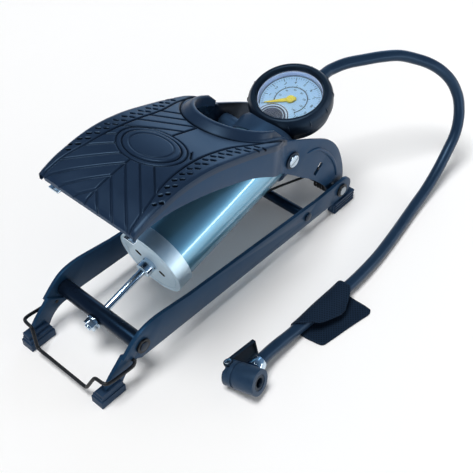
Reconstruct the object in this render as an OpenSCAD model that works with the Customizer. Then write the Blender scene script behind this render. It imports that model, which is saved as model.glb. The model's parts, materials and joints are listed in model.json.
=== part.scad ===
// Single-barrel foot pump with a pressure gauge, a hose and a thumb-lock chuck.
// Millimetres. +X is the hinge end, +Y the left side, +Z up. The floor is z = 0.
// The pump stands with its pedal up, ready for a stroke.

/* [Frame] */
// Width over the outer faces of the two side rails
frame_w = 90; // [88:1:94]
// Thickness of the side rails
rail_t = 3; // [2.5:0.1:3.2]
// Diameter of the cross tube at the front
tube_d = 13.5; // [12:0.5:15]
// Diameter of the cross bar near the rear
bar_d = 9; // [8:0.5:10]

/* [Cylinder] */
// Slope of the cylinder above the horizontal, in degrees
tilt = 14.3; // [14:0.1:14.6]
// Bore of the cylinder
bore_d = 55; // [54:0.5:56]
// Wall of the cylinder
barrel_wall = 1; // [0.8:0.1:1.2]
// Diameter of the piston rod
rod_d = 6; // [5.5:0.5:6.5]

/* [Pedal] */
// Width of the rubber tread
tread_w = 95; // [92:1:96]
// Thickness of the rubber tread
tread_t = 3; // [2.5:0.5:3.5]
// Thickness of the pedal's sheet steel
sheet_t = 2; // [1.6:0.1:2]
// Outer width of the pedal between the rails
heel_w = 76; // [75:0.5:77]

/* [Gauge] */
// Diameter of the gauge's lens
lens_d = 54; // [53:0.5:55]
// Diameter over the rubber boot
boot_d = 71; // [70:0.5:72]

/* [Hose] */
// Outer diameter of the hose
hose_d = 10; // [9:0.5:10]

/* [Lock wire] */
// Diameter of the wire that locks the pedal down
wire_d = 2.8; // [2.4:0.1:3]

/* [Hidden] */
$fn = 64;

// Running fit, as radial clearance
fit = 0.05;

// Pivot centres, seen from the right side as [x, z]
tube_at = [-110, 33];
bar_at = [85, 23.5];
pivot_at = [133, 22];
stud_at = [68, 93.5];
wire_at = [-120.5, 26];

rail_y = frame_w / 2 - rail_t;
journal_d = 8;
shaft_d = 8;

// ---- Curves and tubes ----
function unit(v) = v / norm(v);
function spline_at(a, b, c, d, t) =
    0.5 * (2 * b + (c - a) * t + (2 * a - 5 * b + 4 * c - d) * t * t
           + (3 * b - a - 3 * c + d) * t * t * t);
// A smooth line through the points p, with k steps from each point to the next
function spline(p, k) = [
    for (i = [0 : len(p) - 2]) for (j = [0 : k - 1])
        spline_at(p[max(i - 1, 0)], p[i], p[i + 1], p[min(i + 2, len(p) - 1)], j / k),
    p[len(p) - 1]];
function arc(c, r, a, b, k) = [for (i = [0 : k]) let (t = a + (b - a) * i / k)
    c + r * [cos(t), sin(t)]];
function headings(p) = [for (i = [0 : len(p) - 1])
    unit(p[min(i + 1, len(p) - 1)] - p[max(i - 1, 0)])];
function across(v, t) = unit(v - (v * t) * t);
// The side direction at each heading, carried along without twist
function sides(t, v, i = 0) = i == len(t) ? [] :
    let (w = across(v, t[i])) concat([w], sides(t, w, i + 1));
function ring(c, t, v, r, k) = [for (j = [0 : k - 1]) let (a = 360 * j / k)
    c + r * (cos(a) * v + sin(a) * cross(t, v))];

// A round tube of radius r with k sides, swept along the points p
module swept(p, r, k, start = [0, 0, 1]) {
    t = headings(p);
    v = sides(t, start);
    n = len(p);
    polyhedron(
        points = [for (i = [0 : n - 1]) each ring(p[i], t[i], v[i], r, k)],
        faces = concat(
            [for (j = [1 : k - 2]) [0, j, j + 1]],
            [for (i = [0 : n - 2]) for (j = [0 : k - 1]) each
                let (a = i * k + j, b = i * k + (j + 1) % k)
                    [[a, a + k, b + k], [a, b + k, b]]],
            [for (j = [1 : k - 2]) [(n - 1) * k, (n - 1) * k + j + 1, (n - 1) * k + j]]));
}

// ---- Placing ----
// A flat outline drawn as [x, z], given thickness from y0 to y1
module side_plate(y0, y1) {
    translate([0, y1, 0]) rotate([90, 0, 0]) linear_extrude(y1 - y0) children();
}
// A cylinder across the pump, centred at p = [x, z]
module cross_pin(p, d, y0, y1) {
    translate([p[0], y1, p[1]]) rotate([90, 0, 0]) cylinder(d = d, h = y1 - y0);
}
// Local z runs along the cylinder's centre line from the front tube,
// and local x points away from the pedal's top, square to it
module on_axis(s = 0) {
    translate([tube_at[0], 0, tube_at[1]]) rotate([0, 90 - tilt, 0])
        translate([0, 0, s]) children();
}
// Along the centre line by s and above it by e, with local z up from the line
module above_axis(s, e) {
    on_axis(s) rotate([0, -90, 0]) translate([0, 0, e]) children();
}
module mirrored() {
    children();
    mirror([0, 1, 0]) children();
}

// ---- Side rails ----
rail_end_r = 10.5;
leg_front = spline([[-58, 45], [-78, 48], [-95, 50], [-108, 48.5], [-118, 43],
                    [-131, 31.5], [-144, 19], [-152, 5]], 5);
leg_rear = spline([[-133, 5], [-126, 14.5], [-116, 20], [-98, 20]], 5);
rail_outline = concat(
    arc([136, 22], rail_end_r, 90, -90, 14),
    [[118, 12.5], [-98, 20]],
    [for (i = [len(leg_rear) - 2 : -1 : 0]) leg_rear[i]],
    [for (i = [len(leg_front) - 1 : -1 : 0]) leg_front[i]],
    [[100, 32.5]]);
// The lower leg is set inward by this much
joggle = 2;
joggle_at = [-126, 32];

module leg_part(y0) {
    side_plate(y0, y0 + rail_t) intersection() {
        polygon(rail_outline);
        translate(joggle_at) rotate(-36) translate([-60, -90]) square([120, 90]);
    }
}
module upper_part(y0) {
    side_plate(y0, y0 + rail_t) difference() {
        polygon(rail_outline);
        translate(joggle_at) rotate(-36) translate([-60, -90]) square([120, 90]);
    }
}
module rail_blank() {
    upper_part(rail_y);
    leg_part(rail_y - joggle);
    side_plate(rail_y - joggle, rail_y + rail_t) intersection() {
        polygon(rail_outline);
        translate(joggle_at) rotate(-36) translate([-60, -1.2]) square([120, 2.4]);
    }
    side_plate(rail_y, rail_y + rail_t) translate([122, 5]) square([22, 12]);
}
module rail() {
    difference() {
        rail_blank();
        cross_pin(tube_at, journal_d + 2 * fit, rail_y - 5, rail_y + 5);
        cross_pin(bar_at, 5, rail_y - 5, rail_y + 5);
        cross_pin(pivot_at, shaft_d, rail_y - 5, rail_y + 5);
        cross_pin(wire_at, wire_d + 2 * fit, rail_y - 5, rail_y + 5);
    }
}
module rail_left() {
    color("#1d2a3c") rail();
}
module rail_right() {
    color("#1d2a3c") mirror([0, 1, 0]) rail();
}

module rear_cross_bar() {
    color("#10151d") union() {
        cross_pin(bar_at, bar_d, -rail_y, rail_y);
        mirrored() cross_pin(bar_at, 5, rail_y - 1, rail_y + rail_t);
        mirrored() cross_pin(bar_at, 8, rail_y + rail_t, rail_y + rail_t + 1.6);
    }
}

// ---- Hinge of the pedal ----
module pivot_shaft() {
    color("#8d97a1") cross_pin(pivot_at, shaft_d, -rail_y - rail_t - 2.4, rail_y + rail_t + 2.4);
}
spacer_half = heel_w / 2 - sheet_t - 0.3;
module pivot_spacer() {
    color("#10151d") difference() {
        cross_pin(pivot_at, 11, -spacer_half, spacer_half);
        cross_pin(pivot_at, shaft_d, -spacer_half - 1, spacer_half + 1);
    }
}
module clip_ring(p, d_in, y0, t) {
    difference() {
        cross_pin(p, d_in + 4.4, y0, y0 + t);
        cross_pin(p, d_in, y0 - 1, y0 + t + 1);
    }
}
module pivot_clips() {
    color("#10151d") mirrored() clip_ring(pivot_at, shaft_d, rail_y + rail_t, 1.6);
}

// ---- Rubber feet ----
module foot_front() {
    difference() {
        union() {
            translate([-154.5, 34, 0]) cube([23.5, 11.6, 7]);
            translate([-153.5, 35, 7]) cube([21.5, 9.8, 3]);
            translate([-152.8, 37.2, 10]) cube([19.5, 7.8, 3.5]);
        }
        leg_part(rail_y - joggle);
        // The sole's hollow
        translate([-150, 37, -1]) cube([13, 6.4, 3]);
    }
}
module foot_front_left() {
    color("#15181d") foot_front();
}
module foot_front_right() {
    color("#15181d") mirror([0, 1, 0]) foot_front();
}
foot_rib = 3;
module foot_rear() {
    difference() {
        union() {
            translate([124, 39, 0]) cube([27.5, 7.8, 11.4]);
            translate([122, 40, 2]) cube([3, 6, 8]);
        }
        rail_blank();
        for (i = [0 : 2]) translate([120, 45.9, 2 + i * foot_rib]) cube([34, 2, 1.2]);
    }
}
module foot_rear_left() {
    color("#15181d") foot_rear();
}
module foot_rear_right() {
    color("#15181d") mirror([0, 1, 0]) foot_rear();
}

// ---- Return spring ----
spring_wire = 2.2;
spring_turns = 4;
spring_r = 7.4;
spring_y = -19;
spring_pitch = 3;
// The coil leaves the top of the shaft, turns down behind it and ends in front of it
coil_steps = 8 * spring_turns + 6;
coil = [for (i = [0 : coil_steps]) let (a = 90 - 360 * i / 8)
    [pivot_at[0] + spring_r * cos(a), spring_y - spring_pitch * i / 8,
     pivot_at[1] + spring_r * sin(a)]];
bar_leg = [[82, -3, 29.7], [92, -6, 29.7], [107, -11, 29.6], [121, -16, 29.5]];
lift_leg = [[122, -32.6, 32], [116, -32.8, 42], [110, -33, 53], [106.6, -33.4, 58.6],
            [105.6, -35, 60.4], [105.4, -38.6, 60.8]];
module return_spring() {
    color("#14171c") swept(concat(bar_leg, coil, lift_leg), spring_wire / 2, 8, [0, 1, 0]);
    least = min([for (i = [0 : len(coil) - 9]) norm(coil[i + 8] - coil[i])]) - spring_wire;
    echo(spring_gap = least);
}

// ---- Lock wire ----
arm_y = frame_w / 2 + 0.4 + wire_d / 2;
wire_side = [[-120.5, arm_y, 26], [-122, arm_y, 22.5], [-126, arm_y, 22], [-134, arm_y, 22.8],
             [-143, arm_y, 24], [-147.5, arm_y - 1, 24.5], [-149, arm_y - 4, 24.5]];
wire_front = [[-149.4, 38, 24.5], [-149.6, 35.5, 24], [-150.4, 33.6, 21.5], [-152.3, 29.5, 13],
              [-152.9, 27.8, 10], [-153, 25, 9]];
wire_half = concat(wire_side, wire_front);
function flip(p) = [p[0], -p[1], p[2]];
wire_path = concat(wire_half, [for (i = [len(wire_half) - 1 : -1 : 0]) flip(wire_half[i])]);
module lock_wire() {
    color("#0d1015") union() {
        swept(wire_path, wire_d / 2, 10);
        mirrored() cross_pin(wire_at, wire_d, rail_y - joggle - 0.6, arm_y);
    }
}

// ---- Pedal ----
// The top of the tread, from the front edge to the heel
tread_line = spline([[-109, 147], [-104, 149.3], [-90, 154], [-62, 158], [-34, 155.5],
                     [-8, 148.5], [18, 140], [40, 131.5], [52, 125.5], [62, 119]], 4);
heel_line = spline([[52, 122.5], [62, 116], [77, 108], [97, 97], [118, 83.5], [131, 68],
                    [139, 50], [143, 34], [143.5, 22]], 4);
skirt_line = spline([[122, 22], [118.5, 31], [99, 52], [82, 66], [66, 79.5], [48, 93], [19, 111.5],
                     [-4, 122], [-33, 132], [-60, 139], [-80, 142], [-96, 141.5], [-108, 140]], 4);
function lowered(p, d) = [for (q = p) [q[0], q[1] - d]];
function back(p) = [for (i = [len(p) - 1 : -1 : 0]) p[i]];
shell_line = [for (q = lowered(tread_line, tread_t)) if (q[0] < 50) q];
lobe_r = 10.5;
pedal_side = concat(shell_line, heel_line, arc(pivot_at, lobe_r, 0, -180, 14), skirt_line);

// Half width of the shell at x: wide under the tread, narrow between the rails
wide = tread_w / 2 - 2;
narrow = heel_w / 2;
neck_from = 34;
neck_to = 60;
function ease(t) = (1 - cos(180 * min(max(t, 0), 1))) / 2;
function half_w(x) = wide - (wide - narrow) * ease((x - neck_from) / (neck_to - neck_from));
neck_xs = [for (i = [0 : 12]) neck_from + (neck_to - neck_from) * i / 12];
function edge(from, to, inset) = concat(
    [[from, half_w(from) - inset]],
    [for (x = neck_xs) if (x > from && x < to) [x, half_w(x) - inset]],
    [[to, half_w(to) - inset]]);
module plan_strip(from, to, inset, t) {
    linear_extrude(200) polygon(concat(edge(from, to, inset), back(edge(from, to, inset + t))));
}
module plan_full(from, to, inset) {
    line = edge(from, to, inset);
    linear_extrude(200) polygon(concat(line, [for (q = back(line)) [q[0], -q[1]]]));
}

// Opening in the top for the cylinder head and the gauge
mouth_x = 44;
mouth_r = 32;
module mouth(grow) {
    linear_extrude(200) {
        translate([mouth_x, 0]) circle(r = mouth_r + grow);
        translate([mouth_x, -mouth_r - grow]) square([60, 2 * (mouth_r + grow)]);
    }
}
// A ramp round the front of the opening, square to the tread
lip_rise = 6;
lip_slope = 19.5;
module lip_ramp() {
    translate([mouth_x, 0, 128.5]) rotate([0, lip_slope, 0]) {
        cylinder(r1 = mouth_r + 11, r2 = mouth_r + 1.5, h = lip_rise + 1, $fn = 96);
        mirrored() rotate([90, 0, 90]) linear_extrude(16)
            polygon([[20, 0], [mouth_r + 11, 0], [mouth_r + 1.5, lip_rise + 1], [20, lip_rise + 1]]);
    }
}
module band(line, top, bottom, half) {
    side_plate(-half, half) polygon(concat(lowered(line, top), back(lowered(line, bottom))));
}

module pedal_shell() {
    color("#34495f") difference() {
        union() {
            mirrored() intersection() {
                side_plate(0, 60) polygon(pedal_side);
                plan_strip(-107, 146, 0, sheet_t);
            }
            difference() {
                intersection() {
                    band(tread_line, tread_t, tread_t + sheet_t, 60);
                    plan_full(-107, 60, 0.4);
                }
                mouth(1);
            }
            // The turned-down front lip
            translate([-107, -wide + 1, 139.5]) cube([sheet_t, 2 * wide - 2, 5]);
        }
        cross_pin(pivot_at, shaft_d + 2 * fit, -60, 60);
        cross_pin(stud_at, stud_d, -60, 60);
        mirrored() translate([105, 0, 60.5]) rotate([0, -40, 0]) translate([-6, 30, -2.6])
            cube([12, 12, 5.2]);
    }
}

chevron_pitch = 14;
chevron_from = -98;
chevron_a = 133.5;
chevron_t = 1.4;
groove_depth = 1;
band_w = 10;
// One arm of a chevron, running outward and forward from the centre line
module chevron_arm(x) {
    translate([x, 0, 100]) rotate([0, 0, chevron_a]) translate([1.5, -chevron_t / 2, 0])
        cube([70, chevron_t, 100]);
}
module tread_pad() {
    color("#1f2a36") difference() {
        union() {
            difference() {
                intersection() {
                    band(tread_line, 0, tread_t, 60);
                    plan_full(-110, 62, -2);
                }
                mouth(0);
            }
            // Rim down over the shell's edge
            mirrored() intersection() {
                band(tread_line, 1, 5, 60);
                plan_strip(-109, 58, -2, 2);
            }
            translate([-109, -wide - 2, 141]) cube([2, 2 * wide + 4, 5]);
            // Lip that slopes up to the opening's edge
            difference() {
                intersection() {
                    lip_ramp();
                    plan_full(0, 56, 0);
                }
                mouth(0);
                band(lowered(tread_line, tread_t), 0, 60, 60);
            }
            // Oval plaque, left plain
            intersection() {
                band(tread_line, -0.8, 1, 30);
                translate([-41, 0, 100]) rotate([0, 0, 6]) scale([17, 25, 1]) cylinder(r = 1, h = 80);
            }
        }
        intersection() {
            band(tread_line, -3, groove_depth, wide - band_w);
            difference() {
                union() {
                    mirrored() for (i = [0 : 4]) chevron_arm(chevron_from + i * chevron_pitch);
                    for (i = [5 : 9]) chevron_arm(chevron_from + i * chevron_pitch);
                }
                mouth(11);
                translate([-41, 0, 90]) rotate([0, 0, 6]) scale([20, 28, 1]) cylinder(r = 1, h = 100);
            }
        }
        // Lines that mark off the two edge bands
        mirrored() intersection() {
            band(tread_line, -3, groove_depth, 60);
            plan_strip(-106, 52, band_w, 1.2);
        }
    }
}

stud_d = 8;
stud_tip = 30;
module barrel_studs() {
    color("#c9d6dc") mirrored() {
        cross_pin(stud_at, stud_d, stud_tip, heel_w / 2 + 1);
        cross_pin(stud_at, 11, heel_w / 2 + 0.9, heel_w / 2 + 3);
    }
}
module stud_rings() {
    color("#0d1015") mirrored() difference() {
        cross_pin(stud_at, 15, heel_w / 2, heel_w / 2 + 1.6);
        cross_pin(stud_at, 11, heel_w / 2 - 1, heel_w / 2 + 3);
    }
}
// Hooks under the front edge that catch the lock wire when the pedal is down
module lock_hooks() {
    color("#c9d6dc") mirrored() side_plate(33, 43)
        polygon([[-105, 139.7], [-103.6, 139.7], [-103.6, 134.6], [-106.4, 134.6],
                 [-106.4, 133.2], [-102.2, 133.2], [-102.2, 141.3], [-105, 141.3]]);
}

// ---- Front tube and rod ----
module front_tube() {
    color("#161d27") difference() {
        union() {
            cross_pin(tube_at, tube_d, -rail_y + 0.2, rail_y - 0.2);
            cross_pin(tube_at, journal_d, -rail_y - rail_t - 2.2, rail_y + rail_t + 2.2);
        }
        on_axis(-20) cylinder(d = rod_d, h = 40);
    }
}
module tube_clips() {
    color("#0d1015") mirrored() clip_ring(tube_at, journal_d, rail_y + rail_t + 0.1, 1.6);
}
head_s = 190;
stroke = 27;
piston_s = head_s - 2.4 - stroke - 10;
module piston_rod() {
    color("#c9d6dc") on_axis(-15) cylinder(d = rod_d, h = piston_s + 17);
}
module rod_nut() {
    color("#c9d6dc") on_axis(-13.4) difference() {
        cylinder(d = 11.5, h = 5, $fn = 6);
        translate([0, 0, -1]) cylinder(d = rod_d, h = 7);
    }
}
module rod_washer() {
    color("#c9d6dc") on_axis(-8.4) difference() {
        cylinder(d = 13, h = 1.4);
        translate([0, 0, -1]) cylinder(d = rod_d, h = 4);
        translate([0, 0, 8.4]) rotate([90, 0, 0]) cylinder(d = tube_d, h = 30, center = true);
    }
}
cup_t = 3;
module piston() {
    color("#d9d4c4") on_axis(piston_s) difference() {
        cylinder(d = bore_d - 2 * fit, h = 10);
        translate([0, 0, 3.5]) rotate_extrude() translate([bore_d / 2 - 3, 0]) square([4, cup_t]);
        translate([0, 0, -1]) cylinder(d = rod_d, h = 3);
    }
}
module piston_cup() {
    color("#15181d") on_axis(piston_s + 3.5) difference() {
        cylinder(d = bore_d - 2 * fit, h = cup_t);
        translate([0, 0, -1]) cylinder(d = bore_d - 6, h = cup_t + 2);
    }
}

// ---- Cylinder ----
barrel_d = bore_d + 2 * barrel_wall;
cap_s = 55.2;
cap_len = 13.7;
cap_face = 2;
cap_d = 62.2;
module barrel_tube() {
    color("#3f6b80") on_axis(cap_s + cap_face) difference() {
        cylinder(d = barrel_d, h = head_s - cap_s - cap_face, $fn = 96);
        translate([0, 0, -1]) cylinder(d = bore_d, h = head_s, $fn = 96);
    }
}
guide_d = 13;
module front_cap() {
    color("#c9d6dc") on_axis(cap_s) difference() {
        cylinder(d = cap_d, h = cap_len, $fn = 96);
        translate([0, 0, cap_face]) cylinder(d = barrel_d, h = cap_len, $fn = 96);
        translate([0, 0, -1]) cylinder(d = guide_d, h = 5);
        // Two air slots, and a ring pressed in the face
        for (a = [116, 296]) rotate([0, 0, a]) translate([9.6, -0.75, -1]) rotate([0, 0, 10])
            cube([5.6, 1.5, 5]);
        translate([0, 0, -1]) rotate_extrude() translate([26.4, 0]) square([0.8, 1.4]);
    }
}
module rod_guide() {
    color("#c9d6dc") on_axis(cap_s) difference() {
        translate([0, 0, -9]) cylinder(d = guide_d, h = 17);
        translate([0, 0, -10]) cylinder(d = rod_d + 2 * fit, h = 20);
    }
}
boss_half = heel_w / 2 - sheet_t - 0.5;
// The stud turns loose in the head, which leaves room for its small arc
stud_play = 1.6;
valve_s = 196;
valve_d = 6.4;
// The neck that carries the gauge
module head_neck() {
    above_axis(head_s + 8, 0) translate([0, -9, -4]) cube([20, 18, 16]);
}
module cylinder_head() {
    color("#2b3442") difference() {
        union() {
            difference() {
                union() {
                    on_axis(head_s - 6) cylinder(d = 61, h = 14, $fn = 96);
                    on_axis(head_s + 8) intersection() {
                        scale([1, 1, 0.5]) sphere(d = 61, $fn = 96);
                        cylinder(d = 70, h = 20);
                    }
                }
                above_axis(gauge_s, case_e - 0.6) cylinder(d = boot_d + 1.2, h = 40, $fn = 96);
            }
            mirrored() cross_pin(stud_at, 17, 20, boss_half);
            head_neck();
        }
        on_axis(cap_s) cylinder(d = barrel_d, h = head_s - cap_s, $fn = 96);
        mirrored() cross_pin(stud_at, stud_d + 2 * stud_play, stud_tip - 1, 60);
        on_axis(head_s - 1) cylinder(d = 3, h = 30);
        on_axis(valve_s) cylinder(d = 8, h = 10);
    }
}
module head_seal() {
    color("#15181d") on_axis(head_s - 2) difference() {
        cylinder(d = bore_d, h = 2);
        translate([0, 0, -1]) cylinder(d = bore_d - 6, h = 4);
    }
}
module valve_ball() {
    color("#c9d6dc") on_axis(valve_s + valve_d / 2 + 0.1) sphere(d = valve_d, $fn = 32);
}

// ---- Gauge ----
gauge_s = 234;
case_e = 3;
dial_e = 17.8;
lens_e = 23.4;
lens_t = 1.4;
case_d = 60;
module gauge_case() {
    color("#20262e") difference() {
        union() {
            above_axis(gauge_s, case_e) cylinder(d = case_d - 4, h = 3, $fn = 96);
            above_axis(gauge_s, case_e + 3) cylinder(d = case_d, h = lens_e - case_e - 3, $fn = 96);
        }
        above_axis(gauge_s, case_e + 4) cylinder(d = lens_d + 1, h = 40, $fn = 96);
        head_neck();
        translate([nipple_x, 0, hose_z]) rotate([0, 90, 0]) cylinder(d = nipple_d, h = 20);
    }
}
module gauge_boot() {
    color("#14171c") difference() {
        above_axis(gauge_s, 0) rotate_extrude($fn = 96) polygon(concat(
            [[case_d / 2, 11], [case_d / 2 + 3.2, 11]],
            arc([boot_d / 2 - 3, 14], 3, -60, 0, 5),
            arc([boot_d / 2 - 5, 24], 5, 0, 90, 8),
            arc([lens_d / 2 + 1.6, 27.6], 1.4, 90, 180, 5),
            [[lens_d / 2, lens_e + lens_t], [case_d / 2, lens_e + lens_t]]));
        head_neck();
        translate([nipple_x, 0, hose_z]) rotate([0, 90, 0]) cylinder(d = nipple_d, h = 20);
    }
}
module gauge_dial() {
    color("#dfe9f2") above_axis(gauge_s, dial_e) difference() {
        cylinder(d = lens_d, h = 0.8, $fn = 96);
        translate([0, 0, -1]) cylinder(d = 2.4, h = 3);
    }
}
module gauge_movement() {
    color("#b8a468") above_axis(gauge_s, case_e + 4) union() {
        cylinder(d = 22, h = 3);
        translate([0, 0, 3]) cylinder(d = 14, h = dial_e - case_e - 7);
        cylinder(d = 1.6, h = dial_e - case_e - 4 + 2.6);
    }
}
needle_a = 130;
module gauge_needle() {
    color("#e3d21c") above_axis(gauge_s, dial_e + 1.3) difference() {
        union() {
            cylinder(d = 7, h = 1.6);
            rotate([0, 0, needle_a]) linear_extrude(0.7)
                polygon([[0, -1.6], [20, -0.6], [22, 0], [20, 0.6], [0, 1.6]]);
        }
        translate([0, 0, -1]) cylinder(d = 1.6 + 2 * fit, h = 4);
    }
}
module gauge_lens() {
    color([0.8, 0.9, 1, 0.35]) above_axis(gauge_s, lens_e) cylinder(d = lens_d + 1.6, h = lens_t, $fn = 96);
}

// ---- Hose and chuck ----
hose_z = 111;
nipple_x = 139;
nipple_d = 7;
neck_l = 7;
hose_start = 149;
module hose_nipple() {
    color("#b8a468") union() {
        translate([nipple_x, 0, hose_z]) rotate([0, 90, 0]) cylinder(d = nipple_d, h = neck_l);
        translate([nipple_x + neck_l, 0, hose_z]) rotate([0, 90, 0])
            cylinder(d = hose_d, h = hose_start - nipple_x - neck_l);
    }
}
// The hose's centre line: up behind the gauge, over and down, then along the floor
hose_route = [[149, 0, 111], [157, 0, 111], [166, 0, 111], [181, -5, 112], [197, -14, 112],
              [212, -22, 111], [227, -30, 108], [240, -39, 102], [250, -48, 96],
              [258, -57, 88], [263, -66, 78], [264, -74, 66], [262, -79, 55], [257, -83, 45],
              [249, -86, 35], [236, -88, 25], [218, -91, 16], [197, -94, 9], [174, -97, 6],
              [150, -101, 5], [126, -105, 5], [105, -108, 5], [84, -110, 6], [62, -111, 7],
              [40, -110, 7], [20, -109, 7], [0, -108, 7], [-15, -108, 8], [-28, -108, 10],
              [-39, -108, 11], [-48, -108.7, 12], [-56.4, -110, 12.6]];
module hose() {
    color("#15181d") swept(spline(hose_route, 2), hose_d / 2, 10);
}
chuck_at = [-71.5, -110.2, 13.2];
chuck_a = -81;
chuck_rise = 13;
socket_d = 7.9;
// Along the chuck, which leans on its cap, from the cap to the mouth
module on_chuck(u = 0) {
    translate(chuck_at) rotate([0, 0, chuck_a]) rotate([0, 90 - chuck_rise, 0])
        translate([0, 0, u]) children();
}
module toward_hose(u = 0) {
    translate([-56.4, -110, 12.6]) rotate([0, 0, 189]) rotate([0, 86, 0])
        translate([0, 0, u]) children();
}
module hose_ferrule() {
    color("#c9d6dc") toward_hose(-4) difference() {
        union() {
            cylinder(d1 = hose_d + 1.6, d2 = hose_d + 4, h = 5);
            translate([0, 0, 5]) cylinder(d = hose_d + 4, h = 4);
        }
        translate([0, 0, -1]) cylinder(d = hose_d + 0.6, h = 5);
    }
}
module chuck_body() {
    color("#15181d") difference() {
        union() {
            on_chuck(-4) cylinder(d = 21, h = 18);
            on_chuck(-6) cylinder(d = 19, h = 3);
            toward_hose(5) cylinder(d = 9, h = 9);
        }
        on_chuck(5) cylinder(d = 13, h = 10);
        toward_hose(3) cylinder(d = 4, h = 10);
    }
}
module chuck_seal() {
    color("#2a2f36") on_chuck(5) difference() {
        cylinder(d = 13, h = 8.6);
        translate([0, 0, 0.6]) cylinder(d = socket_d, h = 10);
        cylinder(d = 3, h = 2, center = true);
    }
}
cap_half = 3.2;
flat_half = 7.4;
module chuck_cap() {
    color("#15181d") difference() {
        union() {
            intersection() {
                on_chuck(-13.2) cylinder(d = 20.4, h = 7.2);
                union() {
                    on_chuck(-14) translate([-flat_half, -11, 0]) cube([2 * flat_half, 22, 8]);
                    on_chuck(-9.2) cylinder(d = 21, h = 4);
                }
            }
            on_lever() cylinder(d = 6.4, h = 2 * flat_half, center = true);
        }
        on_chuck(-18) translate([-cap_half, -2, 0]) cube([2 * cap_half, 16, 8.2]);
        on_lever() cylinder(d = pin_d, h = 30, center = true);
    }
}

// Axis of the thumb lever, across the chuck behind its cap, as the local Z
pin_d = 2.4;
lever_a = 12;
ear_half = 9;
module on_lever() {
    on_chuck(-13.5) translate([0, 1.9, 0]) rotate([0, 90, 0]) children();
}
// The same place, turned so that the lever runs along the local Y
module along_lever() {
    on_lever() rotate([0, 0, lever_a]) children();
}
module lever_cam() {
    color("#c9d6dc") difference() {
        union() {
            on_lever() cylinder(d = 7, h = 5.8, center = true);
            along_lever() translate([0.3, 2, -2.6]) cube([1.5, 4, 5.2]);
        }
        on_lever() cylinder(d = pin_d + 2 * fit, h = 20, center = true);
    }
}
module chuck_lever() {
    color("#15181d") difference() {
        union() {
            on_lever() cylinder(d = 7.6, h = 2 * ear_half, center = true);
            along_lever() rotate([0, 90, 0]) linear_extrude(3.2)
                polygon([[-ear_half, 0], [-7, 29], [7, 29], [ear_half, 0]]);
        }
        on_lever() cylinder(d = 8, h = 2 * flat_half + 0.2, center = true);
        along_lever() rotate([0, 90, 0]) translate([0, 0, -1]) linear_extrude(2.8)
            polygon([[-7.5, 0], [-7.5, 9], [-5.6, 27.6], [5.6, 27.6], [7.5, 9], [7.5, 0]]);
        on_lever() cylinder(d = pin_d + 2 * fit, h = 20, center = true);
    }
}
module lever_pin() {
    color("#c9d6dc") on_lever() union() {
        translate([0, 0, -ear_half - 0.2]) cylinder(d = pin_d, h = 2 * ear_half);
        translate([0, 0, -ear_half - 1.3]) cylinder(d = 5.6, h = 1.2);
    }
}

// ---- Strap ----
strap_w = 58;
strap_t = 1.4;
loop_r = 7;
loop_from = -116;
loop_to = -105;
module loop_section(r) {
    translate([loop_from, loop_r]) circle(r = r);
    translate([loop_to, loop_r]) circle(r = r);
    translate([loop_from, loop_r - r]) square([loop_to - loop_from, 2 * r]);
}
module hose_strap() {
    color("#14161a") union() {
        translate([-6, 0, 0]) rotate([90, 0, 90]) linear_extrude(strap_w) difference() {
            loop_section(loop_r);
            loop_section(loop_r - strap_t);
        }
        linear_extrude(strap_t)
            polygon([[52, -116], [52, -137], [50, -138], [0, -130.5], [-2.5, -127.5], [-4.6, -116]]);
    }
}

rail_left();
rail_right();
rear_cross_bar();
pivot_shaft();
pivot_spacer();
pivot_clips();
foot_front_left();
foot_front_right();
foot_rear_left();
foot_rear_right();
return_spring();
lock_wire();
pedal_shell();
tread_pad();
barrel_studs();
stud_rings();
lock_hooks();
front_tube();
tube_clips();
piston_rod();
rod_nut();
rod_washer();
piston();
piston_cup();
barrel_tube();
front_cap();
rod_guide();
cylinder_head();
head_seal();
valve_ball();
gauge_case();
gauge_boot();
gauge_dial();
gauge_movement();
gauge_needle();
gauge_lens();
hose_nipple();
hose();
hose_ferrule();
hose_strap();
chuck_body();
chuck_seal();
chuck_cap();
lever_cam();
chuck_lever();
lever_pin();
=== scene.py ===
# %% [markdown]
# # A single-barrel foot pump
#
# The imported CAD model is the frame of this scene: it gives every piece its place, in
# metres, with +X towards the pedal's hinge, +Z up and the floor at zero. This script
# gives the pump its looks: rubber, paint, zinc, webbing and a printed dial.

# %% Load the frame
import json
from contextlib import contextmanager
from math import copysign, cos, hypot, pi, radians, sin

import bmesh
import bpy
import numpy as np
from mathutils import Matrix, Vector
from numpy.linalg import norm


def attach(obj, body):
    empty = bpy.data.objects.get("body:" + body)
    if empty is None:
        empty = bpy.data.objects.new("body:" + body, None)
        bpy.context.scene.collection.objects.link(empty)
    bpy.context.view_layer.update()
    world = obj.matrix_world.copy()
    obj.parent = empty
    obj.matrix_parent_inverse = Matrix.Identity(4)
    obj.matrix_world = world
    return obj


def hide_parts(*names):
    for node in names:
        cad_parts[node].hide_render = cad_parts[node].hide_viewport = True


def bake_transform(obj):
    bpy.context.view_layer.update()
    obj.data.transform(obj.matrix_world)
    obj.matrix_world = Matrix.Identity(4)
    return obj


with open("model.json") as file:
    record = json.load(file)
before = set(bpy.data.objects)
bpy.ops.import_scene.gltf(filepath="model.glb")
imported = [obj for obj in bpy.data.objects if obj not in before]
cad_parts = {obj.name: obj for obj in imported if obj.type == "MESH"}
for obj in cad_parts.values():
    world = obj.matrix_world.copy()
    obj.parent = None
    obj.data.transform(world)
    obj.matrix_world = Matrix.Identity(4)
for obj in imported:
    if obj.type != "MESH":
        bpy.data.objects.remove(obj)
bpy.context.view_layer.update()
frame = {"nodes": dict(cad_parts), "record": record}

MM = 0.001
nodes = frame["nodes"]
scene = bpy.context.scene
scene.view_settings.view_transform = "Standard"

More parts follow.
